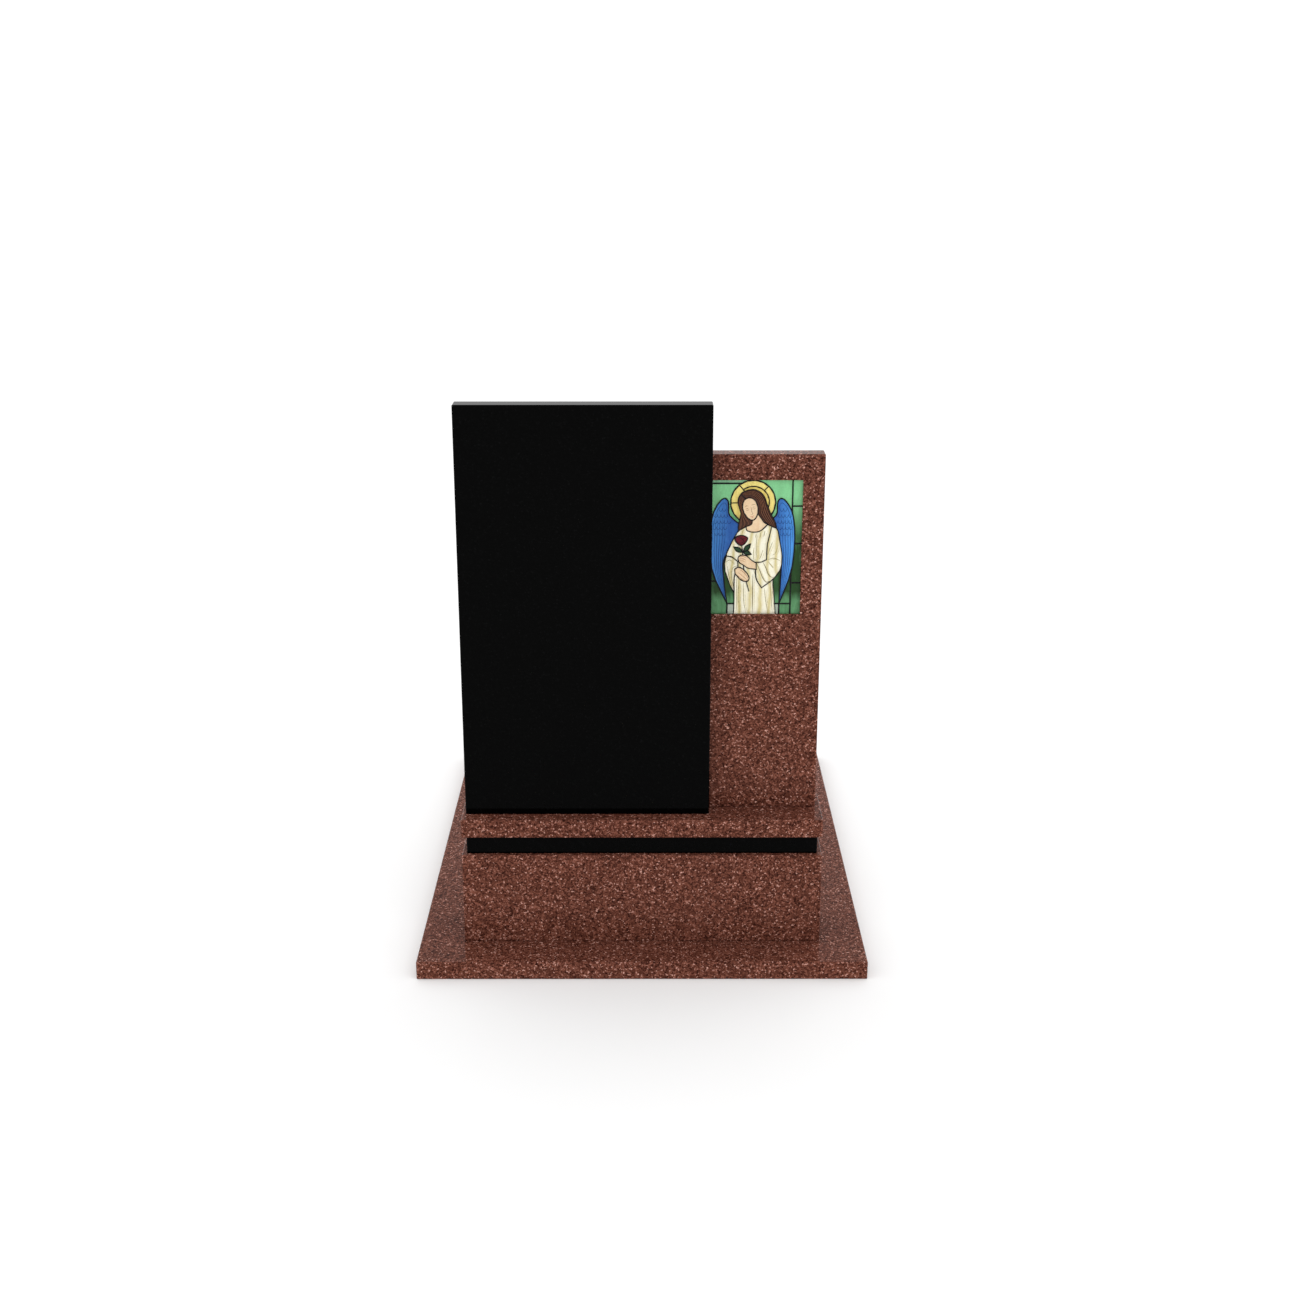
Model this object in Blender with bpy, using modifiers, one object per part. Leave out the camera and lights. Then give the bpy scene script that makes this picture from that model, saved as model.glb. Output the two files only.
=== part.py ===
"""Granite headstone with a leaded window: every slab, the lead and each pane is a closed solid of its own.

Metres, +Z up. The origin is the middle of the base slab's underside, and the front faces -Y.
"""

import math

import bmesh
import bpy
from mathutils import Vector
from mathutils.geometry import delaunay_2d_cdt, interpolate_bezier

# Stone slabs
BASE_LENGTH = 1.250
BASE_THICKNESS = 0.040
BASE_MARGIN = 0.094  # base slab that shows beside and in front of the plinth
PLINTH_WIDTH = 0.762
PLINTH_HEIGHT = 0.202
STRIP_HEIGHT = 0.040
STRIP_RECESS = 0.010  # how far the strip course stands back from the plinth's faces
CAP_HEIGHT = 0.040
FRONT_LEDGE = 0.032  # cap slab that shows in front of the black tablet
REAR_LEDGE = 0.038
BLACK_WIDTH = 0.515
BLACK_HEIGHT = 0.873
BLACK_THICKNESS = 0.040
BLACK_INSET = 0.008  # from the cap slab's left end
RED_HEIGHT = 0.766
RED_THICKNESS = 0.040
RED_INSET = 0.011  # from the cap slab's two ends
ARRIS = 0.0015  # polished chamfer along every stone edge
BED = 0.0003  # joint between touching pieces

# Window
WINDOW_WIDTH = 0.200
WINDOW_HEIGHT = 0.283
WINDOW_SIDE = 0.044  # from the window to the red tablet's right edge
WINDOW_TOP = 0.053  # from the window to the red tablet's top edge
WINDOW_LIP = 0.005  # stone that overlaps the lead panel all round
LIP_THICKNESS = 0.006
GLASS_THICKNESS = 0.003
FLANGE_THICKNESS = 0.0007
BAR_LEAD = 0.0030  # width of the lead between the background's panes
OUTLINE_LEAD = 0.0024  # round the wings and the halo
FIGURE_LEAD = 0.0018
HEART_WIDTH = 0.0008
BORDER_COVER = 0.0006  # how far the border lead stays behind the stone lip's edge
OUTER_CHANNEL = 0.0012  # how far the border lead's flanges pass its heart
GLASS_PLAY = 0.0003
SNAP = 0.00001  # corners of the drawing closer than this are one
CHORD_ERROR = 0.0008  # how far a facet may depart from a drawn curve
SPAN_STEPS = 9  # points drawn on each span of a curve before it is simplified
SHARP_TURN = 60.0  # a lead line that turns more than this has a square end

# Window picture, as shares of its width and height from the middle of its lower edge. An outline is given
# as the points that a smooth curve runs through.
PICTURE_WIDTH = 70.67
PICTURE_HEIGHT = 100.0
PICTURE_EDGE = 3.0  # how far the bars run past the picture, behind the border lead
HALO_CENTRE = (0.0, 83.3)
HALO_RADIUS = 16.1
HALO_INNER = 11.7
HALO_JOINTS = {182.0: 8.0, 128.0: 8.0, 47.0: HALO_INNER}  # direction and inner end of the ring's dividing lines
FACE_CENTRE = (-1.7, 78.3)
FACE_HALF_WIDTH = 5.4
FACE_HALF_HEIGHT = 8.4
FACE_TILT = 13.0  # degrees, the crown leaning to the left
FACE_NARROWING = 0.14  # how much slimmer the chin's half is than the crown's
FACE_POINTS = 12
HALO_BAND = (-40.0, 128.0)  # where the ring's inner line shows beside the hair
LEAVES = ((-10.3, 48.3, 149.0, 3.7), (-3.8, 49.6, 50.0, 3.9), (-3.6, 45.8, -18.0, 3.1))
LEAF_HALF_WIDTH = 1.6
WING_LEAN = 3.2  # how far the left wing's foot leans in, below WING_BEND
WING_BEND = 30.0
COLUMN = 28.2
COLUMN_BARS = (80.5, 52.8, 23.4)
LEFT_BARS = ((97.1, -7.0), (62.0, -28.6), (24.6, -24.0))  # height, and the inner end
FOOT_LINE = 7.6
WING_FOOT = 20.1
FOOT_ENDS = (-10.0, 14.0)  # where the foot line ends behind the robe
LEAD_WIDTHS = {"bar": BAR_LEAD, "wing": OUTLINE_LEAD, "halo_ring": OUTLINE_LEAD}

# Derived places, each face of the stack tied to the one that carries it
BASE_WIDTH = PLINTH_WIDTH + 2 * BASE_MARGIN
PLINTH_FRONT = -BASE_LENGTH / 2 + BASE_MARGIN
BLACK_FRONT = PLINTH_FRONT + FRONT_LEDGE
RED_FRONT = BLACK_FRONT + BLACK_THICKNESS + BED
PLINTH_BACK = RED_FRONT + RED_THICKNESS + REAR_LEDGE
PLINTH_FOOT = BASE_THICKNESS + BED
STRIP_FOOT = PLINTH_FOOT + PLINTH_HEIGHT + BED
CAP_FOOT = STRIP_FOOT + STRIP_HEIGHT + BED
TABLET_FOOT = CAP_FOOT + CAP_HEIGHT + BED
BLACK_LEFT = -PLINTH_WIDTH / 2 + BLACK_INSET
RED_RIGHT = PLINTH_WIDTH / 2 - RED_INSET
RED_TOP = TABLET_FOOT + RED_HEIGHT
WINDOW_RIGHT = RED_RIGHT - WINDOW_SIDE
WINDOW_MIDDLE = WINDOW_RIGHT - WINDOW_WIDTH / 2
WINDOW_HEAD = RED_TOP - WINDOW_TOP
WINDOW_SILL = WINDOW_HEAD - WINDOW_HEIGHT
CHANNEL = GLASS_THICKNESS + 2 * GLASS_PLAY
LEAD_DEPTH = CHANNEL + 2 * FLANGE_THICKNESS
FLAT = math.radians(1.0)  # faces and edges that turn less than this are joined
INSIDE_FACES = 1  # the triangulation's result that fills the given faces alone
GLASS_MIDDLE = RED_FRONT + LIP_THICKNESS + BED + LEAD_DEPTH / 2
PANEL_MARGIN = WINDOW_LIP - BED  # lead panel beyond the window's edge

RED_STONE = ((0.135, 0.055, 0.042), 0.25)
BLACK_STONE = ((0.004, 0.004, 0.004), 0.08)
LEAD = ((0.02, 0.02, 0.02), 0.55)
GLASS_ROUGHNESS = 0.12
GLASS_COLOURS = {
    "background": (0.10, 0.33, 0.15),
    "halo_ring": (0.76, 0.60, 0.16),
    "halo_inner": (0.84, 0.66, 0.24),
    "wing": (0.04, 0.15, 0.45),
    "hair": (0.07, 0.02, 0.014),
    "neck": (0.90, 0.66, 0.42),
    "face": (0.96, 0.76, 0.50),
    "robe": (1.00, 0.96, 0.78),
    "sleeve": (1.00, 0.97, 0.84),
    "hand": (0.90, 0.62, 0.38),
    "rose": (0.13, 0.008, 0.015),
    "leaf": (0.012, 0.035, 0.014),
}


def clear_scene():
    """Removes the objects of the scene that the script starts in."""
    for thing in list(bpy.data.objects):
        bpy.data.objects.remove(thing, do_unlink=True)


def collection(name):
    """A new collection linked to the scene."""
    group = bpy.data.collections.new(name)
    bpy.context.scene.collection.children.link(group)
    return group


def give_material(thing, colour, roughness):
    """A Principled material of the piece's own."""
    material = bpy.data.materials.new(thing.name)
    material.use_nodes = True
    shader = material.node_tree.nodes["Principled BSDF"]
    shader.inputs["Base Color"].default_value = (*colour, 1.0)
    shader.inputs["Roughness"].default_value = roughness
    shader.inputs["Metallic"].default_value = 0.0
    thing.data.materials.append(material)


def box(name, group, low, high):
    """A block between two opposite corners."""
    mesh = bpy.data.meshes.new(name)
    block = bmesh.new()
    bmesh.ops.create_cube(block, size=1.0)
    size = Vector(high) - Vector(low)
    bmesh.ops.scale(block, vec=size, verts=block.verts)
    block.to_mesh(mesh)
    block.free()
    thing = bpy.data.objects.new(name, mesh)
    thing.location = (Vector(high) + Vector(low)) / 2
    group.objects.link(thing)
    return thing


def slab(name, group, low, high, stone):
    """A stone block with a chamfered arris along its edges."""
    thing = box(name, group, low, high)
    bevel = thing.modifiers.new("arris", "BEVEL")
    bevel.width = ARRIS
    bevel.segments = 1
    give_material(thing, *stone)
    return thing


def cut(thing, cutter):
    """Takes the cutter's solid out of the piece."""
    boolean = thing.modifiers.new(cutter.name, "BOOLEAN")
    boolean.operation = "DIFFERENCE"
    boolean.solver = "EXACT"
    boolean.object = cutter
    cutter.hide_render = True
    cutter.display_type = "WIRE"


def build_stones(parts, cutters):
    """The four courses and the two tablets, from the ground up."""
    half_base = BASE_WIDTH / 2
    half = PLINTH_WIDTH / 2
    half_strip = half - STRIP_RECESS
    slab("base_slab", parts, (-half_base, -BASE_LENGTH / 2, 0),
         (half_base, BASE_LENGTH / 2, BASE_THICKNESS), RED_STONE)
    slab("plinth_block", parts, (-half, PLINTH_FRONT, PLINTH_FOOT),
         (half, PLINTH_BACK, PLINTH_FOOT + PLINTH_HEIGHT), RED_STONE)
    slab("strip_course", parts, (-half_strip, PLINTH_FRONT + STRIP_RECESS, STRIP_FOOT),
         (half_strip, PLINTH_BACK - STRIP_RECESS, STRIP_FOOT + STRIP_HEIGHT), BLACK_STONE)
    slab("cap_slab", parts, (-half, PLINTH_FRONT, CAP_FOOT),
         (half, PLINTH_BACK, CAP_FOOT + CAP_HEIGHT), RED_STONE)
    slab("black_tablet", parts, (BLACK_LEFT, BLACK_FRONT, TABLET_FOOT),
         (BLACK_LEFT + BLACK_WIDTH, BLACK_FRONT + BLACK_THICKNESS, TABLET_FOOT + BLACK_HEIGHT), BLACK_STONE)
    red = slab("red_tablet", parts, (-half + RED_INSET, RED_FRONT, TABLET_FOOT),
               (RED_RIGHT, RED_FRONT + RED_THICKNESS, RED_TOP), RED_STONE)
    through = RED_FRONT + RED_THICKNESS + BED
    cut(red, box("window_light", cutters, (WINDOW_RIGHT - WINDOW_WIDTH, RED_FRONT - BED, WINDOW_SILL),
                 (WINDOW_RIGHT, through, WINDOW_HEAD)))
    cut(red, box("window_rebate", cutters,
                 (WINDOW_RIGHT - WINDOW_WIDTH - WINDOW_LIP, RED_FRONT + LIP_THICKNESS, WINDOW_SILL - WINDOW_LIP),
                 (WINDOW_RIGHT + WINDOW_LIP, through, WINDOW_HEAD + WINDOW_LIP)))


def placed(x, z):
    """A point of the picture in metres from the middle of the window's lower edge."""
    return Vector((x * WINDOW_WIDTH / PICTURE_WIDTH, z * WINDOW_HEIGHT / PICTURE_HEIGHT))


def simplified(points):
    """The open polyline with the points left out that lie within CHORD_ERROR of it."""
    first, last = points[0], points[-1]
    chord = last - first
    if chord.length > SNAP:
        gaps = [abs(chord.cross(point - first)) / chord.length for point in points[1:-1]]
    else:
        gaps = [(point - first).length for point in points[1:-1]]
    if not gaps or max(gaps) < CHORD_ERROR:
        return [first, last]
    middle = gaps.index(max(gaps)) + 1
    return simplified(points[:middle + 1])[:-1] + simplified(points[middle:])


def curve(points, corners=(), closed=True):
    """A smooth curve through the points in picture units, with corners where they are named.

    A closed curve with corners starts at one of them, its first point.
    """
    knots = [placed(*point) for point in points]
    count = len(knots)
    runs = count if closed else count - 1
    sharp = set(corners) if closed else set(corners) | {0, count - 1}
    stretch, drawn = [knots[0]], []
    for start in range(runs):
        a, b = knots[start], knots[(start + 1) % count]
        before, after = knots[start - 1], knots[(start + 2) % count]
        leave = (b - a) / 3 if start in sharp else (b - before) / 6
        arrive = (b - a) / 3 if (start + 1) % count in sharp else (after - a) / 6
        stretch += interpolate_bezier(a, a + leave, b - arrive, b, SPAN_STEPS)[1:]
        if (start + 1) % count in sharp or start == runs - 1:
            drawn += simplified(stretch)[:-1]
            stretch = [b]
    return drawn if closed else drawn + [knots[-1]]


def arc(centre, radius, start=0.0, end=360.0):
    """An arc of a circle in picture units, with as many sides as its size asks for."""
    side = 2 * math.acos(1 - CHORD_ERROR / placed(0, radius).length)
    count = math.ceil(math.radians(end - start) / side)
    turns = [math.radians(start + (end - start) * n / count) for n in range(count + (end - start < 360))]
    return [placed(centre[0] + radius * math.cos(t), centre[1] + radius * math.sin(t)) for t in turns]


def leaf_outline(x, z, direction, half_length):
    """A pointed oval along a direction."""
    turn = math.radians(direction)
    along = Vector((math.cos(turn), math.sin(turn)))
    across = Vector((-along.y, along.x))
    middle = Vector((x, z))
    shape = ((-1, 0), (-0.45, 0.85), (0.2, 0.95), (1, 0), (0.2, -0.95), (-0.45, -0.85))
    return curve([middle + along * half_length * a + across * LEAF_HALF_WIDTH * b for a, b in shape], corners=(0, 3))


def left_wing(points):
    """The right wing's outline on the other side of the figure, its foot leaning in."""
    return [(-x + WING_LEAN * max(0.0, 1 - z / WING_BEND), z) for x, z in points]


def anticlockwise(points):
    """The outline in the turning sense that the triangulation asks for."""
    turned = sum(points[n - 1].cross(points[n]) for n in range(len(points)))
    return points if turned > 0 else points[::-1]


def face_outline():
    """A plain egg with its narrow end at the chin, leaning with the head."""
    tilt = math.radians(FACE_TILT)
    drawn = []
    for point in range(FACE_POINTS):
        turn = 2 * math.pi * point / FACE_POINTS
        across = FACE_HALF_WIDTH * math.cos(turn) * (1 + FACE_NARROWING * math.sin(turn))
        up = FACE_HALF_HEIGHT * math.sin(turn)
        drawn.append((FACE_CENTRE[0] + across * math.cos(tilt) - up * math.sin(tilt),
                      FACE_CENTRE[1] + across * math.sin(tilt) + up * math.cos(tilt)))
    return curve(drawn)


def picture_layers():
    """The window's drawing from front to back, as areas and single lead lines."""
    layers = [("area", "rose", curve([(-12.8, 56.1), (-11.2, 58.2), (-8.4, 58.9), (-5.0, 58.2), (-3.4, 56.4),
                                      (-5.4, 52.8), (-8.2, 51.3), (-11.0, 52.9)]))]
    layers += [("area", "leaf", leaf_outline(*leaf)) for leaf in LEAVES]
    layers += [
        ("area", "hand", curve([(3.0, 38.2), (-0.4, 40.4), (-3.8, 43.4), (-7.4, 44.2), (-10.0, 42.6), (-9.6, 39.0),
                                (-6.0, 36.6), (-2.8, 34.4), (3.2, 33.4)], corners=(0, 8))),
        ("area", "hand", curve([(-12.4, 33.6), (-10.2, 35.1), (-6.6, 33.9), (-3.0, 29.9), (-1.9, 27.0), (-3.0, 24.6),
                                (-6.4, 24.7), (-9.4, 26.9), (-12.2, 30.4)], corners=(0, 8))),
        ("line", "stem", curve([(-7.6, 51.4), (-6.9, 46.0), (-6.2, 36.0), (-3.9, 24.0), (-2.0, 17.3)], closed=False)),
        ("area", "sleeve", curve([(13.7, 65.4), (17.8, 63.3), (19.4, 56.0), (21.7, 43.0), (20.6, 33.6), (15.4, 26.0),
                                  (7.2, 19.6), (3.0, 27.0), (2.4, 38.8), (6.4, 38.9), (10.4, 40.7), (10.8, 52.0)],
                                 corners=(0, 6, 8, 10))),
        ("area", "sleeve", curve([(-18.6, 43.6), (-19.9, 38.0), (-19.3, 32.0), (-17.4, 26.2), (-15.2, 20.4),
                                  (-12.7, 15.9), (-12.9, 24.0), (-12.2, 30.2), (-10.2, 35.3), (-10.4, 39.4),
                                  (-14.4, 42.6)], corners=(0, 5, 9))),
        ("area", "robe", curve([(-4.7, 65.3), (-4.4, 62.9), (-2.4, 61.7), (1.2, 61.2), (5.0, 61.9), (8.6, 64.5),
                                (10.6, 66.8), (14.0, 65.2), (16.6, 62.0), (17.0, 50.0), (15.4, 26.0), (16.4, 14.0),
                                (17.9, -3.0), (-13.0, -3.0), (-12.6, 12.0), (-13.4, 26.0), (-18.7, 42.4),
                                (-16.0, 51.0), (-12.7, 58.0), (-9.8, 62.3)], corners=(0, 6, 12, 13))),
        ("area", "face", face_outline()),
        ("line", "parting", curve([(-4.4, 85.0), (-8.9, 89.3)], closed=False)),
        ("area", "neck", curve([(1.0, 76.0), (-0.6, 74.0), (-0.7, 67.4), (-5.4, 65.2), (-6.0, 60.0), (11.0, 60.0),
                                (11.2, 67.0), (8.2, 68.4), (6.0, 71.6), (2.4, 76.6)], corners=(0, 3, 4, 5, 6, 9))),
        ("area", "hair", curve([(17.6, 62.0), (-10.4, 62.0), (-10.3, 66.0), (-9.2, 71.4), (-8.6, 75.6),
                                (-10.0, 79.8), (-10.9, 83.4), (-10.1, 87.4), (-7.0, 91.0), (-0.4, 92.7), (5.0, 90.8),
                                (8.3, 86.8), (10.2, 81.2), (13.2, 74.0), (16.2, 68.6)], corners=(0, 1))),
    ]
    wing = [(WING_FOOT, FOOT_LINE), (20.6, 24.0), (20.0, 42.0), (8.0, 54.0), (8.0, 66.0), (14.6, 71.4), (17.3, 75.2),
            (17.4, 81.6), (18.3, 84.9), (20.2, 86.2), (23.0, 84.7), (26.4, 79.9), (29.0, 73.0), (30.4, 61.0),
            (30.2, 47.0), (28.5, 32.0), (24.4, 18.8)]
    layers += [("area", "wing", curve(turned(wing), corners=(0, 3, 4))) for turned in (list, left_wing)]
    layers.append(("area", "halo_inner", arc(HALO_CENTRE, HALO_INNER, *HALO_BAND)))
    for turn, inner_end in HALO_JOINTS.items():
        along = Vector((math.cos(math.radians(turn)), math.sin(math.radians(turn))))
        middle = Vector(HALO_CENTRE)
        layers.append(("line", "ray", curve([middle + along * inner_end, middle + along * HALO_RADIUS],
                                            closed=False)))
    layers.append(("area", "halo_ring", arc(HALO_CENTRE, HALO_RADIUS)))
    side = PICTURE_WIDTH / 2 + PICTURE_EDGE
    crown = (HALO_CENTRE[0], HALO_CENTRE[1] + HALO_RADIUS)
    bars = [(crown, (crown[0], PICTURE_HEIGHT + PICTURE_EDGE)),
            ((COLUMN, -PICTURE_EDGE), (COLUMN, PICTURE_HEIGHT + PICTURE_EDGE))]
    posts = (left_wing([wing[0]])[0][0], WING_FOOT)
    bars += [((outer, FOOT_LINE), (end, FOOT_LINE)) for outer, end in zip((posts[0], COLUMN), FOOT_ENDS)]
    bars += [((post, -PICTURE_EDGE), (post, FOOT_LINE)) for post in posts]
    bars += [((-side, height), (end, height)) for height, end in LEFT_BARS]
    bars += [((COLUMN, height), (side, height)) for height in COLUMN_BARS]
    layers += [("line", "bar", curve(bar, closed=False)) for bar in bars]
    return layers


def ribbon(points, closed, half_width):
    """Quads along a polyline: mitred where it bends gently, square-ended where it turns sharply."""
    count = len(points)
    runs = count if closed else count - 1
    headings = [(points[(n + 1) % count] - points[n]).normalized() for n in range(runs)]
    sides = [Vector((-heading.y, heading.x)) for heading in headings]

    def end(run, corner):
        joined = closed or 0 < corner < count - 1
        other = (run - 1 if corner == run else run + 1) % runs if joined else None
        if other is not None and headings[run].dot(headings[other]) > math.cos(math.radians(SHARP_TURN)):
            across = (sides[run] + sides[other]) / (1 + sides[run].dot(sides[other])) * half_width
            return points[corner % count] - across, points[corner % count] + across
        push = headings[run] * half_width * (-1 if corner == run else 1)
        middle = points[corner % count] + push
        return middle - sides[run] * half_width, middle + sides[run] * half_width

    quads = []
    for run in range(runs):
        a, b = end(run, run)
        c, d = end(run, run + 1)
        quads.append([a, c, d, b])
    return quads


def inside_panel(inset):
    """A rectangle drawn inwards from the lead panel's edges."""
    half_width = WINDOW_WIDTH / 2 + PANEL_MARGIN - inset
    low, high = inset - PANEL_MARGIN, WINDOW_HEIGHT + PANEL_MARGIN - inset
    return [Vector((-half_width, low)), Vector((half_width, low)), Vector((half_width, high)),
            Vector((-half_width, high))]


def divide_window():
    """Triangles of the window's plane, each with what it shows at the lead's flanges, its heart and the glass."""
    border_heart = OUTER_CHANNEL + HEART_WIDTH
    insets = {"flange": PANEL_MARGIN - BORDER_COVER, "heart": border_heart, "fit": border_heart + GLASS_PLAY}
    outers = {"flange": 0.0, "heart": OUTER_CHANNEL}
    faces, tags = [], []
    for order, (kind, name, points) in enumerate(picture_layers()):
        closed = kind == "area"
        if closed:
            faces.append(anticlockwise(points))
            tags.append(("area", name, order))
        flange = LEAD_WIDTHS.get(name, FIGURE_LEAD) / 2
        widths = {"flange": flange, "heart": HEART_WIDTH / 2, "fit": HEART_WIDTH / 2 + GLASS_PLAY}
        for width, half_width in widths.items():
            for quad in ribbon(points, closed, half_width):
                faces.append(quad)
                tags.append((width, name, order))
    for width, inset in insets.items():
        faces.append(inside_panel(inset))
        tags.append(("inside", width, None))
    for width, inset in outers.items():
        faces.append(inside_panel(inset))
        tags.append(("outside", width, None))
    corners = [corner for face in faces for corner in face]
    numbers, start = [], 0
    for face in faces:
        numbers.append(list(range(start, start + len(face))))
        start += len(face)
    found = delaunay_2d_cdt(corners, [], numbers, INSIDE_FACES, SNAP)
    triangles = []
    for corner_numbers, sources in zip(found[2], found[5]):
        held = {tags[source] for source in sources}
        shown = {}
        for width in widths:
            covers = [(order, kind, name) for kind, name, order in held if kind in ("area", width)]
            covers.sort(key=lambda cover: (cover[0], cover[1] == "area"))
            front = covers[0] if covers else (None, "area", "background")
            in_border = ("inside", width, None) not in held
            shown[width] = "lead" if in_border or front[1] != "area" else (front[2], front[0])
        for width in outers:
            if ("outside", width, None) not in held:
                shown[width] = "nothing"
        triangles.append((tuple(corner_numbers), shown))
    return found[0], triangles


def connected(triangles, alike):
    """Groups the triangle numbers whose shared edges join equal values of alike."""
    by_edge = {}
    for number, (corners, _) in enumerate(triangles):
        for n in range(3):
            by_edge.setdefault(frozenset((corners[n], corners[n - 1])), []).append(number)
    group_of, groups = {}, []
    for seed in range(len(triangles)):
        if seed in group_of or alike[seed] is None:
            continue
        group_of[seed] = len(groups)
        reached = [seed]
        for number in reached:
            corners = triangles[number][0]
            for n in range(3):
                for other in by_edge[frozenset((corners[n], corners[n - 1]))]:
                    if other not in group_of and alike[other] == alike[seed]:
                        group_of[other] = len(groups)
                        reached.append(other)
        groups.append(reached)
    return groups


def drawn_faces(plane, triangles, members, marked=()):
    """A flat mesh of the chosen triangles, joined into plain faces on each side of the mark's border."""
    drawn = bmesh.new()
    corners = {}
    for number in members:
        for corner in triangles[number][0]:
            if corner not in corners:
                x, z = plane[corner]
                corners[corner] = drawn.verts.new((x, 0, z))
        face = drawn.faces.new([corners[corner] for corner in triangles[number][0]])
        face.material_index = int(number in marked)
    drawn.normal_update()
    bmesh.ops.dissolve_limit(drawn, angle_limit=FLAT, verts=drawn.verts, edges=drawn.edges, delimit={"MATERIAL"})
    return drawn


def extruded(drawn, faces, depth):
    """Draws the faces out along +Y and gives the faces at the new end; the old ones stay."""
    moved = bmesh.ops.extrude_face_region(drawn, geom=faces)["geom"]
    bmesh.ops.translate(drawn, vec=(0, depth, 0), verts=[v for v in moved if isinstance(v, bmesh.types.BMVert)])
    return [face for face in moved if isinstance(face, bmesh.types.BMFace)]


def window_piece(name, group, drawn):
    """An object of the drawn mesh, placed in the window at the middle of the glass."""
    bmesh.ops.recalc_face_normals(drawn, faces=drawn.faces)
    mesh = bpy.data.meshes.new(name)
    drawn.to_mesh(mesh)
    drawn.free()
    thing = bpy.data.objects.new(name, mesh)
    thing.location = (WINDOW_MIDDLE, GLASS_MIDDLE, WINDOW_SILL)
    group.objects.link(thing)
    return thing


def build_lead(group, plane, triangles, flange, heart):
    """The soldered lattice, an H in section: its front half is drawn and mirrored about the glass."""
    half = drawn_faces(plane, triangles, flange, heart)
    bmesh.ops.translate(half, vec=(0, -LEAD_DEPTH / 2, 0), verts=half.verts)
    inner = extruded(half, list(half.faces), FLANGE_THICKNESS)
    foot = [face for face in inner if face.material_index == 1]
    end = extruded(half, foot, CHANNEL / 2)
    bmesh.ops.delete(half, geom=foot + end, context="FACES")
    for face in half.faces:
        face.material_index = 0
    half.normal_update()
    bmesh.ops.dissolve_limit(half, angle_limit=FLAT, verts=half.verts, edges=half.edges)
    lead = window_piece("lead_cames", group, half)
    mirror = lead.modifiers.new("back_half", "MIRROR")
    mirror.use_axis = (False, True, False)
    mirror.merge_threshold = SNAP
    give_material(lead, *LEAD)


def build_pane(name, group, plane, triangles, members, colour):
    """One flat piece of glass."""
    glass = window_piece(name, group, drawn_faces(plane, triangles, members))
    solid = glass.modifiers.new("thickness", "SOLIDIFY")
    solid.thickness = GLASS_THICKNESS
    solid.offset = 0.0
    give_material(glass, colour, GLASS_ROUGHNESS)


def build_window(parts):
    """The lead lattice and one pane in each of its openings."""
    plane, triangles = divide_window()

    def openings(width):
        glazed = [None if shown[width] in ("lead", "nothing") else shown[width] for _, shown in triangles]
        return connected(triangles, glazed)

    seen = {number for opening in openings("flange") for number in opening}
    panes = [pane for pane in openings("fit") if seen.intersection(pane)]
    empty = {number for opening in openings("heart") if seen.intersection(opening) for number in opening}
    heart = {n for n, (_, shown) in enumerate(triangles) if shown["heart"] != "nothing" and n not in empty}
    flange = {n for n, (_, shown) in enumerate(triangles) if shown["flange"] != "nothing" and n not in seen}
    build_lead(parts, plane, triangles, sorted(flange | heart), heart)

    def reading_order(pane):
        corners = [plane[corner] for number in pane for corner in triangles[number][0]]
        return (-round(sum(c.y for c in corners) / len(corners), 3), sum(c.x for c in corners) / len(corners))

    counts = {}
    for pane in sorted(panes, key=reading_order):
        area = triangles[pane[0]][1]["fit"][0]
        counts[area] = counts.get(area, 0) + 1
        build_pane(f"glass_{area}_{counts[area]:02d}", parts, plane, triangles, pane, GLASS_COLOURS[area])


clear_scene()
headstone = collection("stained_glass_headstone")
build_stones(headstone, collection("cutters"))
build_window(headstone)
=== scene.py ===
"""Looks of the granite headstone with its leaded window: stone, lead, glass, glass paint, floor and light.

Metres, +Z up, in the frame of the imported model. The headstone faces -Y.
"""

import math

import bmesh
import bpy
import numpy as np
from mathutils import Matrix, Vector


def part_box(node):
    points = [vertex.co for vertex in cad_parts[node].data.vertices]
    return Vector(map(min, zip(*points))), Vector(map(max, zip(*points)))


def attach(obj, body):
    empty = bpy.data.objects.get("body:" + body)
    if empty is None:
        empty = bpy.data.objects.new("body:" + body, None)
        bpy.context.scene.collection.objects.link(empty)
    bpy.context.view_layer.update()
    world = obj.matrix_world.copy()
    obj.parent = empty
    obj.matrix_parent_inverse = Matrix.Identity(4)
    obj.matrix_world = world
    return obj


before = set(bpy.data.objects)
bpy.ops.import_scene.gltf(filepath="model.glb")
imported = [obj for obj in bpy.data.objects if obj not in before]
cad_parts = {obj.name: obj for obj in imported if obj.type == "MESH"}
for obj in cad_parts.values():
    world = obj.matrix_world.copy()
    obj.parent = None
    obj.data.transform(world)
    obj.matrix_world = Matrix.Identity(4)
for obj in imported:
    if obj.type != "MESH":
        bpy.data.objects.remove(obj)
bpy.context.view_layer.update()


# Red granite: the ground slab, the plinth block, the cap slab and the red tablet are sawn from one
# brick-red stone and polished on every face. Dark mica, red feldspar and pale quartz lie mixed in
# grains of a few millimetres, and the blocks are bedded on each other without pins.
RED_SLABS = ("base_slab", "plinth_block", "cap_slab", "red_tablet")
GRAIN_PITCH = 0.0034  # mean grain size
FLECK_PITCH = 0.0019
GRAIN_WARP = 0.0026  # how far the grain borders wander
GRAIN_SHARE = 0.6  # weight of the grains, against the flecks, in the pick of a mineral
POLISH_SPECULAR = 0.03


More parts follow.
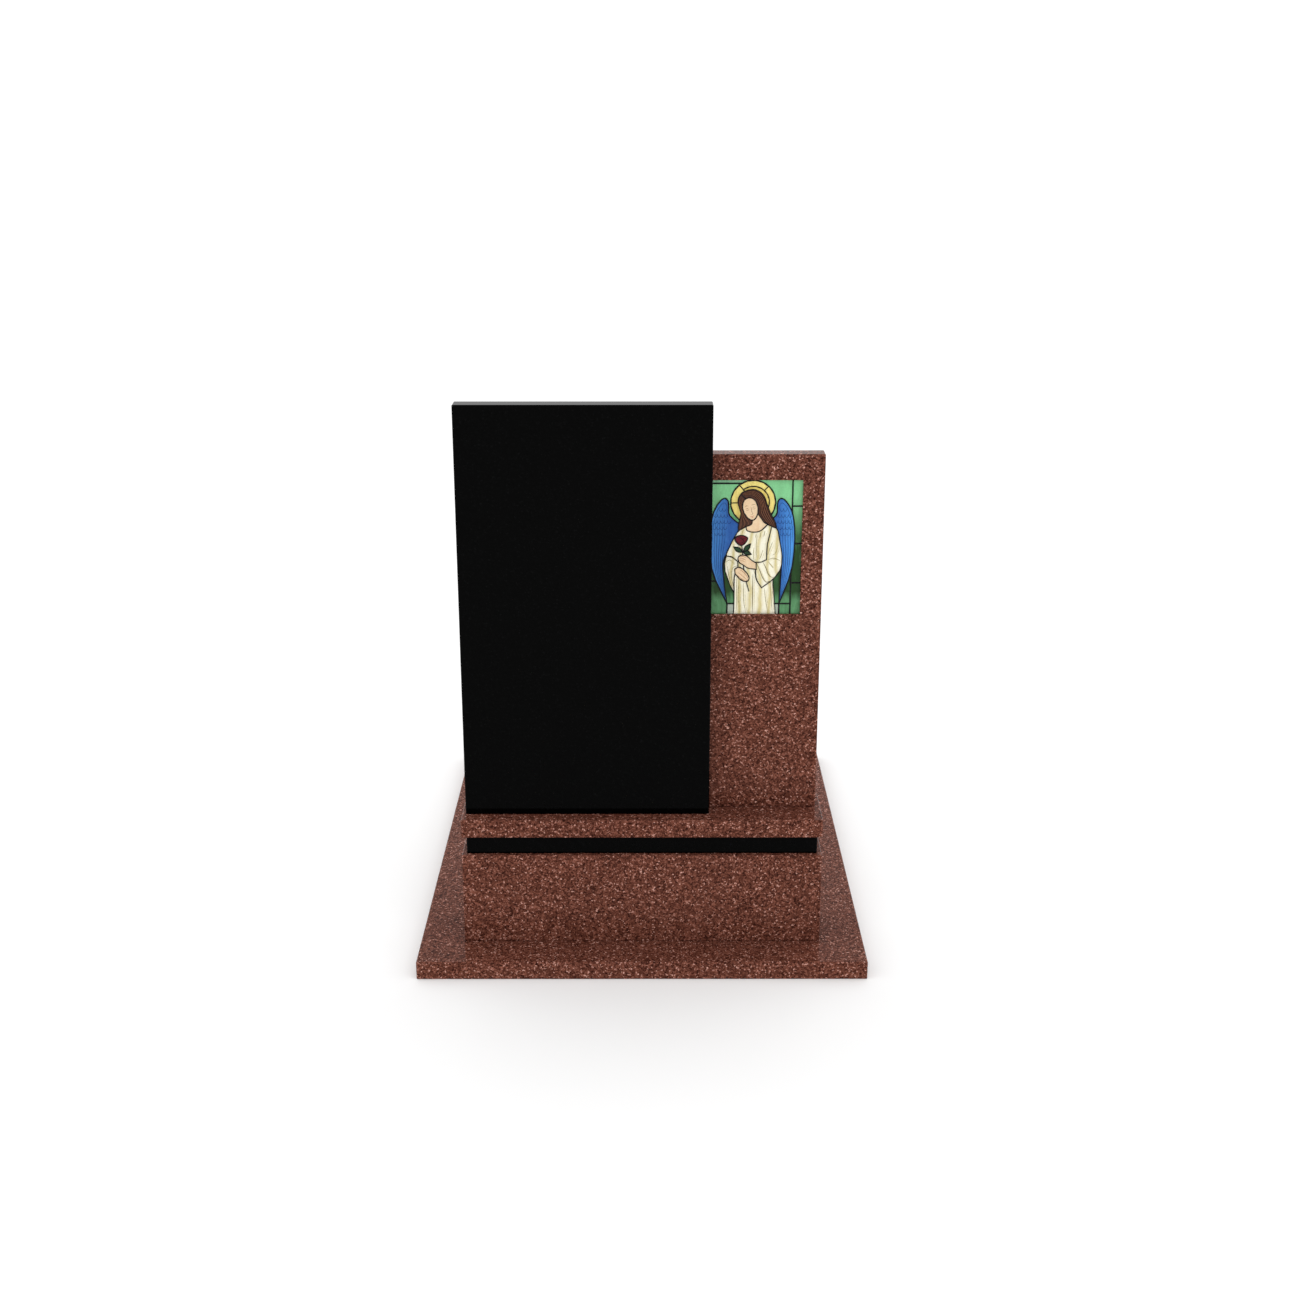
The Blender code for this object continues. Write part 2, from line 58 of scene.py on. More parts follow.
def tone(red, green, blue):
    """Linear colour of an 8-bit display colour."""
    return tuple((value / 255 / 12.92 if value < 10.3 else ((value / 255 + 0.055) / 1.055)**2.4)
                 for value in (red, green, blue))


def link(tree, *chain):
    """Joins node outputs to node inputs, given in turn."""
    for output, socket in zip(chain[::2], chain[1::2]):
        tree.links.new(output, socket)


def node_group(name, inputs, outputs):
    """An empty shader node group with typed, named sockets and its two end nodes."""
    group = bpy.data.node_groups.new(name, "ShaderNodeTree")
    for label, kind, value in inputs:
        socket = group.interface.new_socket(label, in_out="INPUT", socket_type=kind)
        socket.default_value = value
    for label, kind in outputs:
        group.interface.new_socket(label, in_out="OUTPUT", socket_type=kind)
    return group, group.nodes.new("NodeGroupInput"), group.nodes.new("NodeGroupOutput")


def texture(tree, kind, scale, vector, **settings):
    """A texture node at a scale over a vector, with its other inputs set by name."""
    node = tree.nodes.new(kind)
    node.inputs["Scale"].default_value = scale
    tree.links.new(vector, node.inputs["Vector"])
    for label, value in settings.items():
        node.inputs[label.title()].default_value = value
    return node


def maths(tree, operation, *values):
    """A Math node, whose inputs are numbers or node outputs."""
    node = tree.nodes.new("ShaderNodeMath")
    node.operation = operation
    for socket, value in zip(node.inputs, values):
        if isinstance(value, (int, float)):
            socket.default_value = value
        else:
            tree.links.new(value, socket)
    return node.outputs[0]


def vector_maths(tree, operation, *values):
    """A Vector Math node, whose inputs are triples or node outputs."""
    node = tree.nodes.new("ShaderNodeVectorMath")
    node.operation = operation
    for socket, value in zip(node.inputs, values):
        if isinstance(value, tuple):
            socket.default_value = value
        else:
            tree.links.new(value, socket)
    return node.outputs[0]


def mix(tree, factor, first, second):
    """A colour Mix node, whose inputs are colours, numbers or node outputs."""
    node = tree.nodes.new("ShaderNodeMix")
    node.data_type = "RGBA"
    for socket, value in ((node.inputs[0], factor), (node.inputs[6], first), (node.inputs[7], second)):
        if isinstance(value, (int, float)):
            socket.default_value = value
        elif isinstance(value, tuple):
            socket.default_value = (*value, 1.0)
        else:
            tree.links.new(value, socket)
    return node.outputs[2]


def ramp(tree, factor, *stops):
    """A value that runs straight between (position, value) stops."""
    node = tree.nodes.new("ShaderNodeValToRGB")
    while len(node.color_ramp.elements) < len(stops):
        node.color_ramp.elements.new(1.0)
    for element, (position, value) in zip(node.color_ramp.elements, stops):
        element.position = position
        element.color = (value, value, value, 1.0)
    tree.links.new(factor, node.inputs[0])
    return node.outputs[0]


def scaled(tree, colour, share):
    """A colour times a value."""
    node = tree.nodes.new("ShaderNodeVectorMath")
    node.operation = "SCALE"
    link(tree, colour, node.inputs[0], share, node.inputs["Scale"])
    return node.outputs[0]


def granite_group():
    """Crystals in cells of warped space: a random number per cell picks the mineral, finer flecks vary it,
    and slow clouds shade the whole."""
    colour, number = "NodeSocketColor", "NodeSocketFloat"
    group, start, end = node_group("granite", [
        ("Dark", colour, (0.02, 0.01, 0.01, 1)), ("Body", colour, (0.1, 0.04, 0.03, 1)),
        ("Bright", colour, (0.3, 0.15, 0.12, 1)), ("Pale", colour, (0.5, 0.4, 0.35, 1)),
        ("Cloud", number, 0.2)], [("Color", colour), ("Height", number)])
    place = group.nodes.new("ShaderNodeTexCoord").outputs["Object"]
    wander = texture(group, "ShaderNodeTexNoise", 0.6 / GRAIN_PITCH, place, detail=2.0)
    warped = vector_maths(group, "MULTIPLY_ADD", wander.outputs["Color"], (GRAIN_WARP,) * 3, place)
    grains = texture(group, "ShaderNodeTexVoronoi", 1 / GRAIN_PITCH, warped)
    flecks = texture(group, "ShaderNodeTexVoronoi", 1 / FLECK_PITCH, warped)
    clouds = texture(group, "ShaderNodeTexNoise", 14.0, place, detail=3.0)
    pick = group.nodes.new("ShaderNodeSeparateColor")
    pick_fleck = group.nodes.new("ShaderNodeSeparateColor")
    link(group, grains.outputs["Color"], pick.inputs[0], flecks.outputs["Color"], pick_fleck.inputs[0])
    mineral = maths(group, "ADD", maths(group, "MULTIPLY", pick.outputs[0], GRAIN_SHARE),
                    maths(group, "MULTIPLY", pick_fleck.outputs[1], 1 - GRAIN_SHARE))
    stone = mix(group, ramp(group, mineral, (0.18, 0.0), (0.36, 1.0)), start.outputs["Dark"],
                start.outputs["Body"])
    stone = mix(group, ramp(group, mineral, (0.52, 0.0), (0.76, 1.0)), stone, start.outputs["Bright"])
    stone = mix(group, ramp(group, mineral, (0.84, 0.0), (0.92, 1.0)), stone, start.outputs["Pale"])
    shade = maths(group, "MULTIPLY_ADD", maths(group, "SUBTRACT", clouds.outputs["Fac"], 0.5),
                  start.outputs["Cloud"], 1.0)
    link(group, scaled(group, stone, shade), end.inputs["Color"], pick_fleck.outputs[2], end.inputs["Height"])
    return group


GRANITE = granite_group()


def material(name, roughness, specular):
    """A new material with its Principled shader, whose plain values are set on the shader itself."""
    made = bpy.data.materials.new(name)
    made.use_nodes = True
    shader = made.node_tree.nodes["Principled BSDF"]
    shader.inputs["Roughness"].default_value = roughness
    shader.inputs["Specular IOR Level"].default_value = specular
    return made, made.node_tree, shader


def placed_group(tree, group, **values):
    """A node that places a shared group in a material, with colours and numbers for its inputs."""
    node = tree.nodes.new("ShaderNodeGroup")
    node.node_tree = group
    for label, value in values.items():
        node.inputs[label].default_value = (*value, 1.0) if isinstance(value, tuple) else value
    return node


def bumped(tree, shader, height, strength, distance):
    """Raises the shader's surface by a height."""
    bump = tree.nodes.new("ShaderNodeBump")
    bump.inputs["Strength"].default_value = strength
    bump.inputs["Distance"].default_value = distance
    link(tree, height, bump.inputs["Height"], bump.outputs["Normal"], shader.inputs["Normal"])


def granite(name, dark, body, bright, pale, cloud, roughness):
    """A polished stone: the granite group gives its colour, and its crystals barely stand out."""
    made, tree, shader = material(name, roughness, POLISH_SPECULAR)
    stone = placed_group(tree, GRANITE, Dark=dark, Body=body, Bright=bright, Pale=pale, Cloud=cloud)
    link(tree, stone.outputs["Color"], shader.inputs["Base Color"])
    bumped(tree, shader, stone.outputs["Height"], 0.02, 0.0002)
    return made


def finish(nodes, made):
    """Gives CAD nodes their material."""
    for name in nodes:
        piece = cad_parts[name]
        piece.data.materials.clear()
        piece.data.materials.append(made)


red_granite = granite("red_granite", tone(44, 18, 12), tone(89, 50, 39), tone(134, 83, 68), tone(212, 164, 150),
                      cloud=0.3, roughness=0.06)
finish(RED_SLABS, red_granite)


# Black granite: the strip course between plinth and cap, and the tall tablet with its bare face, are
# one fine, even black stone under a mirror polish, in which only faint specks show.
BLACK_SLABS = ("strip_course", "black_tablet")
black_granite = granite("black_granite", (0.0004,) * 3, (0.0006,) * 3, (0.0009,) * 3, (0.0026, 0.0026, 0.0028),
                        cloud=0.1, roughness=0.04)
finish(BLACK_SLABS, black_granite)


# Lead: one soldered lattice of drawn cames, each an H in section, dull and near black with age. The
# lattice carries rounded faces along every came, in front and behind, and a low dome of solder where
# a came ends against another.
LEAD_LOW, LEAD_HIGH = (np.array(corner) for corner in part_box("lead_cames"))
PANEL_MARGIN = 0.0047  # lead panel beyond the window's edge
BORDER_LEAD = 0.0052
BAR_LEAD = 0.0030
OUTLINE_LEAD = 0.0024
FIGURE_LEAD = 0.0018
CAME_CROWN = 0.0006
CROWN_POINTS = 6
CAME_FOOT = 0.9  # half width of a strip's foot over the came's
CAME_SINK = 0.0003  # how deep the foot sits in the lattice
FRONT_MARGIN = 0.3  # how far the lines run past the window's edge, in the picture's units
BACK_MARGIN = 1.0
SOLDER_RISE = 0.0010
SOLDER_SPREAD = 0.62  # radius of a joint over the came's width
SOLDER_TOP = 0.05  # radians from the dome's top to its first ring
SOLDER_RINGS = 5
SOLDER_SIDES = 12
SOLDER_INSET = 1.0  # no joint lies nearer to the window's edge, in the picture's units
PICTURE_WIDTH = 70.67  # the picture's own units, from the middle of the window's lower edge
PICTURE_HEIGHT = 100.0
STEP = 0.5  # spacing of the points along a drawn line
SPAN_POINTS = 16  # points worked out on each span, before they are spaced evenly
LEAF_HALF_WIDTH = 1.6
WING_LEAN = 3.2
WING_BEND = 30.0
MIDDLE_X = (LEAD_LOW[0] + LEAD_HIGH[0]) / 2
SILL_Z = LEAD_LOW[2] + PANEL_MARGIN
UNIT_X = (LEAD_HIGH[0] - LEAD_LOW[0] - 2 * PANEL_MARGIN) / PICTURE_WIDTH
UNIT_Z = (LEAD_HIGH[2] - LEAD_LOW[2] - 2 * PANEL_MARGIN) / PICTURE_HEIGHT

ROSE = [(-12.8, 56.1), (-11.2, 58.2), (-8.4, 58.9), (-5.0, 58.2), (-3.4, 56.4), (-5.4, 52.8), (-8.2, 51.3),
        (-11.0, 52.9)]
LEAVES = ((-10.3, 48.3, 149.0, 3.7), (-3.8, 49.6, 50.0, 3.9), (-3.6, 45.8, -18.0, 3.1))
HAND_UPPER = [(3.0, 38.2), (-0.4, 40.4), (-3.8, 43.4), (-7.4, 44.2), (-10.0, 42.6), (-9.6, 39.0), (-6.0, 36.6),
              (-2.8, 34.4), (3.2, 33.4)]
HAND_LOWER = [(-12.4, 33.6), (-10.2, 35.1), (-6.6, 33.9), (-3.0, 29.9), (-1.9, 27.0), (-3.0, 24.6), (-6.4, 24.7),
              (-9.4, 26.9), (-12.2, 30.4)]
STEM = [(-7.6, 51.4), (-6.9, 46.0), (-6.2, 36.0), (-3.9, 24.0), (-2.0, 17.3)]
SLEEVE_RIGHT = [(13.7, 65.4), (17.8, 63.3), (19.4, 56.0), (21.7, 43.0), (20.6, 33.6), (15.4, 26.0), (7.2, 19.6),
                (3.0, 27.0), (2.4, 38.8), (6.4, 38.9), (10.4, 40.7), (10.8, 52.0)]
SLEEVE_LEFT = [(-18.6, 43.6), (-19.9, 38.0), (-19.3, 32.0), (-17.4, 26.2), (-15.2, 20.4), (-12.7, 15.9),
               (-12.9, 24.0), (-12.2, 30.2), (-10.2, 35.3), (-10.4, 39.4), (-14.4, 42.6)]
ROBE = [(-4.7, 65.3), (-4.4, 62.9), (-2.4, 61.7), (1.2, 61.2), (5.0, 61.9), (8.6, 64.5), (10.6, 66.8),
        (14.0, 65.2), (16.6, 62.0), (17.0, 50.0), (15.4, 26.0), (16.4, 14.0), (17.9, -3.0), (-13.0, -3.0),
        (-12.6, 12.0), (-13.4, 26.0), (-18.7, 42.4), (-16.0, 51.0), (-12.7, 58.0), (-9.8, 62.3)]
FACE_CENTRE = (-1.7, 78.3)
FACE_HALF_WIDTH = 5.4
FACE_HALF_HEIGHT = 8.4
FACE_TILT = 13.0  # degrees, the crown leaning to the left
FACE_NARROWING = 0.14  # how much slimmer the chin's half is than the crown's
FACE_POINTS = 12
PARTING = [(-4.4, 85.0), (-8.9, 89.3)]
NECK = [(1.0, 76.0), (-0.6, 74.0), (-0.7, 67.4), (-5.4, 65.2), (-6.0, 60.0), (11.0, 60.0), (11.2, 67.0),
        (8.2, 68.4), (6.0, 71.6), (2.4, 76.6)]
HAIR = [(17.6, 62.0), (-10.4, 62.0), (-10.3, 66.0), (-9.2, 71.4), (-8.6, 75.6), (-10.0, 79.8), (-10.9, 83.4),
        (-10.1, 87.4), (-7.0, 91.0), (-0.4, 92.7), (5.0, 90.8), (8.3, 86.8), (10.2, 81.2), (13.2, 74.0),
        (16.2, 68.6)]
WING = [(20.1, 7.6), (20.6, 24.0), (20.0, 42.0), (8.0, 54.0), (8.0, 66.0), (14.6, 71.4), (17.3, 75.2),
        (17.4, 81.6), (18.3, 84.9), (20.2, 86.2), (23.0, 84.7), (26.4, 79.9), (29.0, 73.0), (30.4, 61.0),
        (30.2, 47.0), (28.5, 32.0), (24.4, 18.8)]
HALO_MIDDLE = (0.0, 83.3)
HALO_RADIUS = 16.1
HALO_INNER_RADIUS = 11.7
HALO_BAND = (-40.0, 128.0)  # directions between which the inner ring runs
HALO_RAYS = ((182.0, 8.0), (128.0, 8.0), (47.0, HALO_INNER_RADIUS))  # direction, radius where each starts
BARS = ([(0.0, 99.4), (0.0, 103.0)], [(28.2, -3.0), (28.2, 103.0)], [(-17.7, 7.6), (-10.0, 7.6)],
        [(28.2, 7.6), (14.0, 7.6)], [(-17.7, -3.0), (-17.7, 7.6)], [(20.1, -3.0), (20.1, 7.6)],
        [(-38.3, 97.1), (-7.0, 97.1)], [(-38.3, 62.0), (-28.6, 62.0)], [(-38.3, 24.6), (-24.0, 24.6)],
        [(28.2, 80.5), (38.3, 80.5)], [(28.2, 52.8), (38.3, 52.8)], [(28.2, 23.4), (38.3, 23.4)])


def smooth(points, corners=(), closed=False):
    """Points every STEP along a curve through the given ones: cubic spans, whose handles are a sixth of the
    way from the point before to the point after, or a third of the span at a corner."""
    knots = np.array(points, float)
    count = len(knots)
    start = np.arange(count if closed else count - 1)
    after = (start + 1) % count
    sharp = np.zeros(count, bool)
    sharp[list(corners) if closed else [0, *corners, count - 1]] = True
    a, b = knots[start], knots[after]
    leave = np.where(sharp[start, None], (b - a) / 3, (b - knots[start - 1]) / 6)
    arrive = np.where(sharp[after, None], (b - a) / 3, (knots[(start + 2) % count] - a) / 6)
    t = np.linspace(0, 1, SPAN_POINTS, endpoint=False)[:, None, None]
    spans = (1 - t)**3 * a + 3 * (1 - t)**2 * t * (a + leave) + 3 * (1 - t) * t**2 * (b - arrive) + t**3 * b
    drawn = np.concatenate([spans.transpose(1, 0, 2).reshape(-1, 2), knots[:1] if closed else knots[-1:]])
    along = np.concatenate([[0], np.cumsum(np.linalg.norm(np.diff(drawn, axis=0), axis=1))])
    even = np.linspace(0, along[-1], max(int(along[-1] / STEP), 4) + 1)
    return np.stack([np.interp(even, along, drawn[:, axis]) for axis in (0, 1)], axis=1)


def turned(points, centre, degrees):
    """Points turned about the origin and moved to a centre."""
    turn = math.radians(degrees)
    way = np.array([(math.cos(turn), math.sin(turn)), (-math.sin(turn), math.cos(turn))])
    return np.array(points, float) @ way + centre


def arc(radius, first=0.0, last=360.0):
    """Points along an arc about the halo's middle, between two directions in degrees."""
    turns = np.radians(np.linspace(first, last, int(radius * math.radians(last - first) / STEP)))
    return radius * np.stack([np.cos(turns), np.sin(turns)], axis=1) + HALO_MIDDLE


def left_wing(points):
    """The right wing's points on the other side of the figure, with the foot leaning in."""
    x, z = np.array(points, float).T
    return np.stack([-x + WING_LEAN * np.maximum(0, 1 - z / WING_BEND), z], axis=1)


def leaf(x, z, direction, half_length):
    """A pointed oval about (x, z), along its direction."""
    shape = np.array([(-1, 0), (-0.45, 0.85), (0.2, 0.95), (1, 0), (0.2, -0.95), (-0.45, -0.85)])
    return smooth(turned(shape * (half_length, LEAF_HALF_WIDTH), (x, z), direction), (0, 3), True)


def face_outline():
    """A plain egg: across the cosine, narrowed towards the chin, and up the sine of even turns."""
    turns = np.linspace(0, 2 * math.pi, FACE_POINTS, endpoint=False)
    egg = np.stack([FACE_HALF_WIDTH * np.cos(turns) * (1 + FACE_NARROWING * np.sin(turns)),
                    FACE_HALF_HEIGHT * np.sin(turns)], axis=1)
    return smooth(turned(egg, FACE_CENTRE, FACE_TILT), (), True)


def picture_lines():
    """The drawing from front to back: each line, its lead's width, and whether it bounds an area."""
    rose_and_leaves = [smooth(ROSE, (), True), *(leaf(*sizes) for sizes in LEAVES)]
    hands = [smooth(hand, (0, 8), True) for hand in (HAND_UPPER, HAND_LOWER)]
    sleeves = [smooth(SLEEVE_RIGHT, (0, 6, 8, 10), True), smooth(SLEEVE_LEFT, (0, 5, 9), True)]
    figure = [(line, FIGURE_LEAD, True) for line in rose_and_leaves + hands]
    figure.append((smooth(STEM), FIGURE_LEAD, False))
    figure += [(line, FIGURE_LEAD, True) for line in
               [*sleeves, smooth(ROBE, (0, 6, 12, 13), True), face_outline()]]
    figure.append((smooth(PARTING), FIGURE_LEAD, False))
    figure += [(smooth(NECK, (0, 3, 4, 5, 6, 9), True), FIGURE_LEAD, True),
               (smooth(HAIR, (0, 1), True), FIGURE_LEAD, True)]
    wings = [(smooth(points, (0, 3, 4), True), OUTLINE_LEAD, True) for points in (WING, left_wing(WING))]
    band = arc(HALO_INNER_RADIUS, *HALO_BAND)
    halo = [(np.concatenate([band, smooth([band[-1], band[0]])[1:]]), FIGURE_LEAD, True)]
    halo += [(smooth(turned([(start, 0.0), (HALO_RADIUS, 0.0)], HALO_MIDDLE, direction)), FIGURE_LEAD, False)
             for direction, start in HALO_RAYS]
    halo.append((arc(HALO_RADIUS), OUTLINE_LEAD, True))
    return figure + wings + halo + [(smooth(bar), BAR_LEAD, False) for bar in BARS]


def inside(points, outline):
    """Which points lie inside a closed outline: a ray from them crosses it an odd number of times."""
    x, z = points[:, 0, None], points[:, 1, None]
    (x1, z1), (x2, z2) = outline.T, np.roll(outline, -1, axis=0).T
    rise = np.where(z2 == z1, 1.0, z2 - z1)
    crosses = ((z1 > z) != (z2 > z)) & (x < (x2 - x1) * (z - z1) / rise + x1)
    return crosses.sum(axis=1) % 2 == 1


def visible_runs(margin):
    """The stretches of the picture's lines that no nearer area hides, up to a margin past the window's edge."""
    runs, areas = [], []
    for points, width, is_area in picture_lines():
        shown = ((np.abs(points[:, 0]) < PICTURE_WIDTH / 2 + margin)
                 & (np.abs(points[:, 1] - PICTURE_HEIGHT / 2) < PICTURE_HEIGHT / 2 + margin))
        for area in areas:
            shown &= ~inside(points, area)
        turns = np.flatnonzero(np.diff(np.concatenate([[0], shown.astype(int), [0]])))
        runs += [(points[a:b], width) for a, b in zip(turns[::2], turns[1::2]) if b - a > 1]
        if is_area:
            areas.append(points)
    return runs


def in_window(points, depth):
    """Picture points as places in the headstone's frame, at a depth."""
    return np.stack([MIDDLE_X + points[:, 0] * UNIT_X, np.full(len(points), depth),
                     SILL_Z + points[:, 1] * UNIT_Z], axis=1)


def grid_faces(rows, columns):
    """Quads of a grid that closes on itself along its columns, with a face across each open end."""
    row, column = np.meshgrid(np.arange(rows - 1), np.arange(columns), indexing="ij")
    after = (column + 1) % columns
    quads = np.stack([row * columns + column, row * columns + after, (row + 1) * columns + after,
                      (row + 1) * columns + column], axis=2).reshape(-1, 4)
    return [*quads.tolist(), list(range(columns)), list(range((rows - 1) * columns, rows * columns))]


def swept(points, half_width, section, depth, outward):
    """A closed strip: a section carried along a line, whose points are shares of the half width across the
    line and metres out of the window."""
    path = in_window(points, depth)
    slope = np.gradient(path, axis=0)
    slope /= np.linalg.norm(slope, axis=1)[:, None]
    across = np.stack([slope[:, 2], np.zeros(len(path)), -slope[:, 0]], axis=1)
    half = np.broadcast_to(half_width, len(path))
    vertices = (path[:, None] + across[:, None] * (half[:, None] * section[:, 0])[:, :, None]
                + section[:, 1, None] * (0.0, outward, 0.0))
    return vertices.reshape(-1, 3), grid_faces(len(path), len(section))


def solder(centre, radius, depth, outward):
    """A low dome: rings about its centre, whose height falls with the cosine as their radius grows with the
    sine."""
    tilt, turn = np.meshgrid(np.linspace(SOLDER_TOP, math.pi / 2, SOLDER_RINGS),
                             np.linspace(0, 2 * math.pi, SOLDER_SIDES, endpoint=False), indexing="ij")
    rings = np.stack([radius * np.sin(tilt) * np.cos(turn), outward * SOLDER_RISE * np.cos(tilt),
                      radius * np.sin(tilt) * np.sin(turn)], axis=2)
    return in_window(centre[None], depth) + rings.reshape(-1, 3), grid_faces(SOLDER_RINGS, SOLDER_SIDES)


def new_piece(name, parts, made):
    """One smooth piece of several closed parts, each (vertices, faces), with all faces turned outwards."""
    starts = np.cumsum([0] + [len(vertices) for vertices, _ in parts])
    mesh = bpy.data.meshes.new(name)
    corners = [[corner + start for corner in face]
               for (_, faces), start in zip(parts, starts) for face in faces]
    mesh.from_pydata(np.concatenate([vertices for vertices, _ in parts]), [], corners)
    shape = bmesh.new()
    shape.from_mesh(mesh)
    bmesh.ops.recalc_face_normals(shape, faces=shape.faces)
    shape.to_mesh(mesh)
    shape.free()
    mesh.shade_smooth()
    mesh.materials.append(made)
    piece = bpy.data.objects.new(name, mesh)
    bpy.context.scene.collection.objects.link(piece)
    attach(piece, "root")


def came_faces():
    """Half-round strips on both sides of the lattice, with solder at their ends, and a border behind."""
    turn = np.linspace(0, math.pi, CROWN_POINTS)
    section = np.concatenate([np.stack([np.cos(turn), CAME_CROWN * np.sin(turn)], axis=1),
                              [(-CAME_FOOT, -CAME_SINK), (CAME_FOOT, -CAME_SINK)]])
    parts = []
    for depth, outward, margin in ((LEAD_LOW[1], -1.0, FRONT_MARGIN), (LEAD_HIGH[1], 1.0, BACK_MARGIN)):
        for points, width in visible_runs(margin):
            parts.append(swept(points, width / 2, section, depth, outward))
            parts += [solder(end, SOLDER_SPREAD * width, depth, outward) for end in (points[0], points[-1])
                      if abs(end[0]) < PICTURE_WIDTH / 2 - SOLDER_INSET
                      and abs(end[1] - PICTURE_HEIGHT / 2) < PICTURE_HEIGHT / 2 - SOLDER_INSET]
    x, z = (PANEL_MARGIN / 2 / unit for unit in (UNIT_X, UNIT_Z))
    reach = (PICTURE_WIDTH / 2 + x, PICTURE_HEIGHT + 2 * z)
    corners = np.array([(-1, 0), (1, 0), (1, 1), (-1, 1), (-1, 0)]) * reach
    corners[:, 1] -= z
    parts += [swept(smooth(corners[[side, side + 1]]), BORDER_LEAD / 2, section, LEAD_HIGH[1], 1.0)
              for side in range(4)]
    return parts


def weathered_lead():
    """Dull lead: a dark skin, greyer where a fine noise wears it, with a hand-rubbed unevenness."""
    made, tree, shader = material("weathered_lead", 0.5, 0.12)
    place = tree.nodes.new("ShaderNodeTexCoord").outputs["Object"]
    worn = ramp(tree, texture(tree, "ShaderNodeTexNoise", 420.0, place, detail=4.0).outputs["Fac"],
                (0.45, 0.0), (0.8, 1.0))
    link(tree, mix(tree, worn, tone(16, 16, 17), tone(44, 44, 47)), shader.inputs["Base Color"],
         ramp(tree, worn, (0.0, 0.62), (1.0, 0.38)), shader.inputs["Roughness"])
    rubbed = texture(tree, "ShaderNodeTexNoise", 900.0, place, detail=2.0).outputs["Fac"]
    bumped(tree, shader, rubbed, 0.35, 0.0002)
    return made


lead = weathered_lead()
finish(("lead_cames",), lead)
new_piece("came_faces", came_faces(), lead)


# Glass: cathedral glass, coloured in the melt and rolled into sheets about 3 mm thick. Streaks of a
# deeper tint run up each pane, the surface waves a little, and each pane is cut to its lead.
GLASS_SPECULAR = 0.12
GLASS_ROUGHNESS = 0.14
GLASS_TRANSMISSION = 0.2
PLEAT_SCALE = 17.0  # bands of 18 mm


def picture_place_group():
    """How far a point lies to the side of the window's middle, over half the window's width, and how far up
    the window it lies, from 0 to 1."""
    group, _, end = node_group("picture_place", [], [("Across", "NodeSocketFloat"), ("Up", "NodeSocketFloat")])
    place = group.nodes.new("ShaderNodeTexCoord").outputs["Object"]
    apart = group.nodes.new("ShaderNodeSeparateXYZ")
    group.links.new(place, apart.inputs[0])
    across = maths(group, "MULTIPLY", maths(group, "SUBTRACT", apart.outputs["X"], float(MIDDLE_X)),
                   float(2 / (UNIT_X * PICTURE_WIDTH)))
    up = maths(group, "MULTIPLY", maths(group, "SUBTRACT", apart.outputs["Z"], float(SILL_Z)),
               float(1 / (UNIT_Z * PICTURE_HEIGHT)))
    link(group, across, end.inputs["Across"], up, end.inputs["Up"])
    return group


def rolled_glass_group():
    """A blend of two tints, which streaks drawn upward through the sheet shift, and a gently waving height."""
    colour, number = "NodeSocketColor", "NodeSocketFloat"
    group, start, end = node_group("rolled_glass", [
        ("Light", colour, (0.8, 0.8, 0.8, 1)), ("Deep", colour, (0.4, 0.4, 0.4, 1)), ("Blend", number, 0.4),
        ("Streak", number, 0.8)], [("Color", colour), ("Height", number)])
    place = group.nodes.new("ShaderNodeTexCoord").outputs["Object"]
    drawn = vector_maths(group, "MULTIPLY", place, (1.0, 1.0, 0.3))
    streaks = texture(group, "ShaderNodeTexNoise", 75.0, drawn, detail=4.0, distortion=1.4).outputs["Fac"]
    mottle = texture(group, "ShaderNodeTexNoise", 330.0, place, detail=2.0).outputs["Fac"]
    waves = texture(group, "ShaderNodeTexNoise", 95.0, place, detail=2.0).outputs["Fac"]
    blend = maths(group, "MULTIPLY_ADD", maths(group, "SUBTRACT", streaks, 0.5), start.outputs["Streak"],
                  start.outputs["Blend"])
    tint = mix(group, blend, start.outputs["Light"], start.outputs["Deep"])
    shade = maths(group, "MULTIPLY_ADD", maths(group, "SUBTRACT", mottle, 0.5), 0.3, 1.0)
    link(group, scaled(group, tint, shade), end.inputs["Color"], waves, end.inputs["Height"])
    return group


PICTURE_PLACE = picture_place_group()
ROLLED_GLASS = rolled_glass_group()


def glass(name, light, deep, streak, blend=0.4, axis=None, stops=()):
    """A rolled glass between two tints: their blend is even, or follows stops up the window, across it or over
    upright pleats."""
    made, tree, shader = material(name, GLASS_ROUGHNESS, GLASS_SPECULAR)
    shader.inputs["Transmission Weight"].default_value = GLASS_TRANSMISSION
    sheet = placed_group(tree, ROLLED_GLASS, Light=light, Deep=deep, Blend=blend, Streak=streak)
    if axis == "Pleats":
        place = tree.nodes.new("ShaderNodeTexCoord").outputs["Object"]
        pleats = texture(tree, "ShaderNodeTexWave", PLEAT_SCALE, place, distortion=3.5, detail=1.0)
        link(tree, ramp(tree, pleats.outputs["Fac"], *stops), sheet.inputs["Blend"])
    elif axis:
        place = placed_group(tree, PICTURE_PLACE).outputs[axis]
        side = maths(tree, "ABSOLUTE", place) if axis == "Across" else place
        link(tree, ramp(tree, side, *stops), sheet.inputs["Blend"])
    link(tree, sheet.outputs["Color"], shader.inputs["Base Color"])
    bumped(tree, shader, sheet.outputs["Height"], 0.3, 0.0012)
    return made


def panes(kind, *numbers):
    """The nodes of one kind of pane, all of them or by number."""
    names = sorted(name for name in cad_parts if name.startswith("glass_" + kind))
    return [names[number - 1] for number in numbers] if numbers else names


